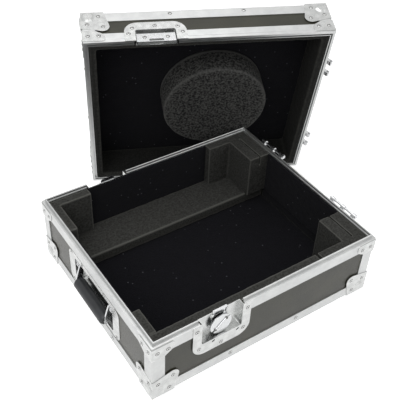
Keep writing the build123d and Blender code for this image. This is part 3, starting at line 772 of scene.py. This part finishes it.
def half_rivets(half_place, height, latch_faces, plate_rivets, band_up, band_along):
    """Rivets of the tray or of the lid: fittings, hinges, braces, ball corners, edge bands."""
    places = []
    for face, along in latch_faces:
        places += on_face(half_place, face, [(along + x, z, y) for x, z, y in plate_rivets])
    rim = height - rim_row
    for x in hinge_row:
        for side in (-hinge_along, hinge_along):
            places += on_face(half_place, "hinge_side", [(side + x, rim, on_hinge_leaf)])
    for face, half in face_halves.items():
        for sign in (-1, 1):
            for inwards in brace_inwards:
                places += on_face(half_place, face, [(sign * (half - inwards), rim, on_plate)])
            for inwards, up in corner_lobes:
                places += on_face(half_place, face, [(sign * (half - inwards), up, on_plate)])
        for x in band_along:
            places += on_face(half_place, face, [(x, band_up, 0)])
    return places


# Rivets of each fitting, along from its middle and up from the closed end
latch_plate = ((-56, 132), (56, 132), (-50, 79), (50, 79), (0, 69))
catch_plate = ((-56, 69), (56, 69), (-47, 52), (47, 52), (0, 47))
keeper_plate = ((-24, 77), (24, 77))
handle_dish_along, handle_dish_up = (-92, -46, 46, 92), (34, 112)
latch_rivets = [(x, z, on_plate) for x, z in latch_plate]
catch_rivets = [(x, z, on_plate) for x, z in catch_plate]
catch_rivets += [(x, z, in_keeper) for x, z in keeper_plate]

tray_latches = (("front", -latch_along), ("rear", latch_along))
lid_catches = (("rear", latch_along), ("front", -latch_along))
tray_places = half_rivets(
    tray_place, tray_height, tray_latches, latch_rivets, band_up=16, band_along=(-89, 75)
)
tray_places += on_face(
    tray_place,
    "handle_side",
    [(x, z, in_handle_dish) for x in handle_dish_along for z in handle_dish_up],
)
lid_places = half_rivets(
    lid_place, lid_height, lid_catches, catch_rivets, band_up=10, band_along=(-80, 79)
)
rivets("tray_set_rivets", "tray", tray_places)
rivets("lid_set_rivets", "lid", lid_places)


# Floor, light and camera
floor_glow = 0.62
light_level, seen_level = 0.38, 1.0  # of the white surround


def seen_rays(tree):
    """1 for rays from the camera, a reflection or through glass, and 0 for lighting rays."""
    path = add(tree, "ShaderNodeLightPath")
    seen = add(
        tree,
        "ShaderNodeMath",
        {0: path.outputs["Is Camera Ray"], 1: path.outputs["Is Glossy Ray"]},
        operation="MAXIMUM",
    )
    through = add(
        tree,
        "ShaderNodeMath",
        {0: seen.outputs[0], 1: path.outputs["Is Transmission Ray"]},
        operation="MAXIMUM",
    )
    return through.outputs[0]


# White photographer's paper: matt, with a faint tooth, so that it takes a soft shadow
def pale_floor():
    made, tree, shader = material("pale_studio_floor", Roughness=0.9, Base_Color=colour("#EDEDED"))
    place = add(tree, "ShaderNodeTexCoord").outputs["Object"]
    # Paper tooth, 3 mm, hardly visible
    tooth = add(tree, "ShaderNodeTexNoise", {"Vector": place, "Scale": 330, "Detail": 2})
    bump = add(
        tree,
        "ShaderNodeBump",
        {"Height": tooth.outputs["Fac"], "Strength": 0.05, "Distance": 0.1 * mm},
    )
    tree.links.new(bump.outputs["Normal"], shader.inputs["Normal"])
    # The floor glows to white for rays that see it, and lights nothing by that
    glow_strength = add(
        tree,
        "ShaderNodeMath",
        {0: seen_rays(tree), 1: floor_glow},
        operation="MULTIPLY",
    )
    glow = add(
        tree,
        "ShaderNodeEmission",
        {"Color": (1, 1, 1, 1), "Strength": glow_strength.outputs[0]},
    )
    both = add(
        tree,
        "ShaderNodeAddShader",
        {0: shader.outputs["BSDF"], 1: glow.outputs["Emission"]},
    )
    tree.links.new(both.outputs["Shader"], tree.nodes["Material Output"].inputs["Surface"])
    return made


reach = 8  # metres from the middle to each side
floor_corners = [(-reach, -reach, 0), (reach, -reach, 0), (reach, reach, 0), (-reach, reach, 0)]
floor_mesh = bpy.data.meshes.new("studio_floor")
floor_mesh.from_pydata(floor_corners, [], [(0, 1, 2, 3)])
floor_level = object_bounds()[0][2] - 0.2 * mm
floor_mesh.transform(Matrix.Translation((0.25, 0.21, floor_level)))
new_piece("studio_floor", floor_mesh, pale_floor())

world = bpy.data.worlds.new("studio_surround")
bpy.context.scene.world = world
world.use_nodes = True
sky = world.node_tree
sky.nodes.clear()
# White where it is seen, and dimmer as light on the case
level = add(
    sky,
    "ShaderNodeMapRange",
    {"Value": seen_rays(sky), "To Min": light_level, "To Max": seen_level},
)
surround = add(
    sky,
    "ShaderNodeBackground",
    {"Color": (1, 1, 1, 1), "Strength": level.outputs["Result"]},
)
end = add(sky, "ShaderNodeOutputWorld")
sky.links.new(surround.outputs["Background"], end.inputs["Surface"])


def lamp(name, place, aim, size, power):
    """A soft square lamp at place that faces aim."""
    light = bpy.data.lights.new(name, "AREA")
    light.shape = "SQUARE"
    light.size = size
    light.energy = power
    made = bpy.data.objects.new(name, light)
    bpy.context.scene.collection.objects.link(made)
    made.location = place
    made.rotation_euler = (Vector(aim) - Vector(place)).to_track_quat("-Z", "Y").to_euler()


middle = (0.25, 0.22, 0.15)
lamp("key_softbox", (-1.1, -0.6, 1.9), middle, size=1.4, power=17)
lamp("fill_softbox", (1.6, -1.3, 1.4), middle, size=1.6, power=6)
lamp("overhead_softbox", (0.3, 0.6, 2.3), middle, size=1.6, power=15)

# The photograph's view, fitted to the right angles of the case
camera_data = bpy.data.cameras.new("photograph_view")
camera_data.lens = 63.224
camera_data.sensor_width = 36
camera = bpy.data.objects.new("photograph_view", camera_data)
bpy.context.scene.collection.objects.link(camera)
camera.matrix_world = Matrix(
    (
        (0.8325, 0.3378, -0.4392, -385.92 * mm),
        (-0.5528, 0.5596, -0.6174, -657.48 * mm),
        (0.0372, 0.7568, 0.6526, 1130.89 * mm),
        (0, 0, 0, 1),
    )
)
bpy.context.scene.camera = camera
bpy.context.scene.view_settings.view_transform = "Standard"
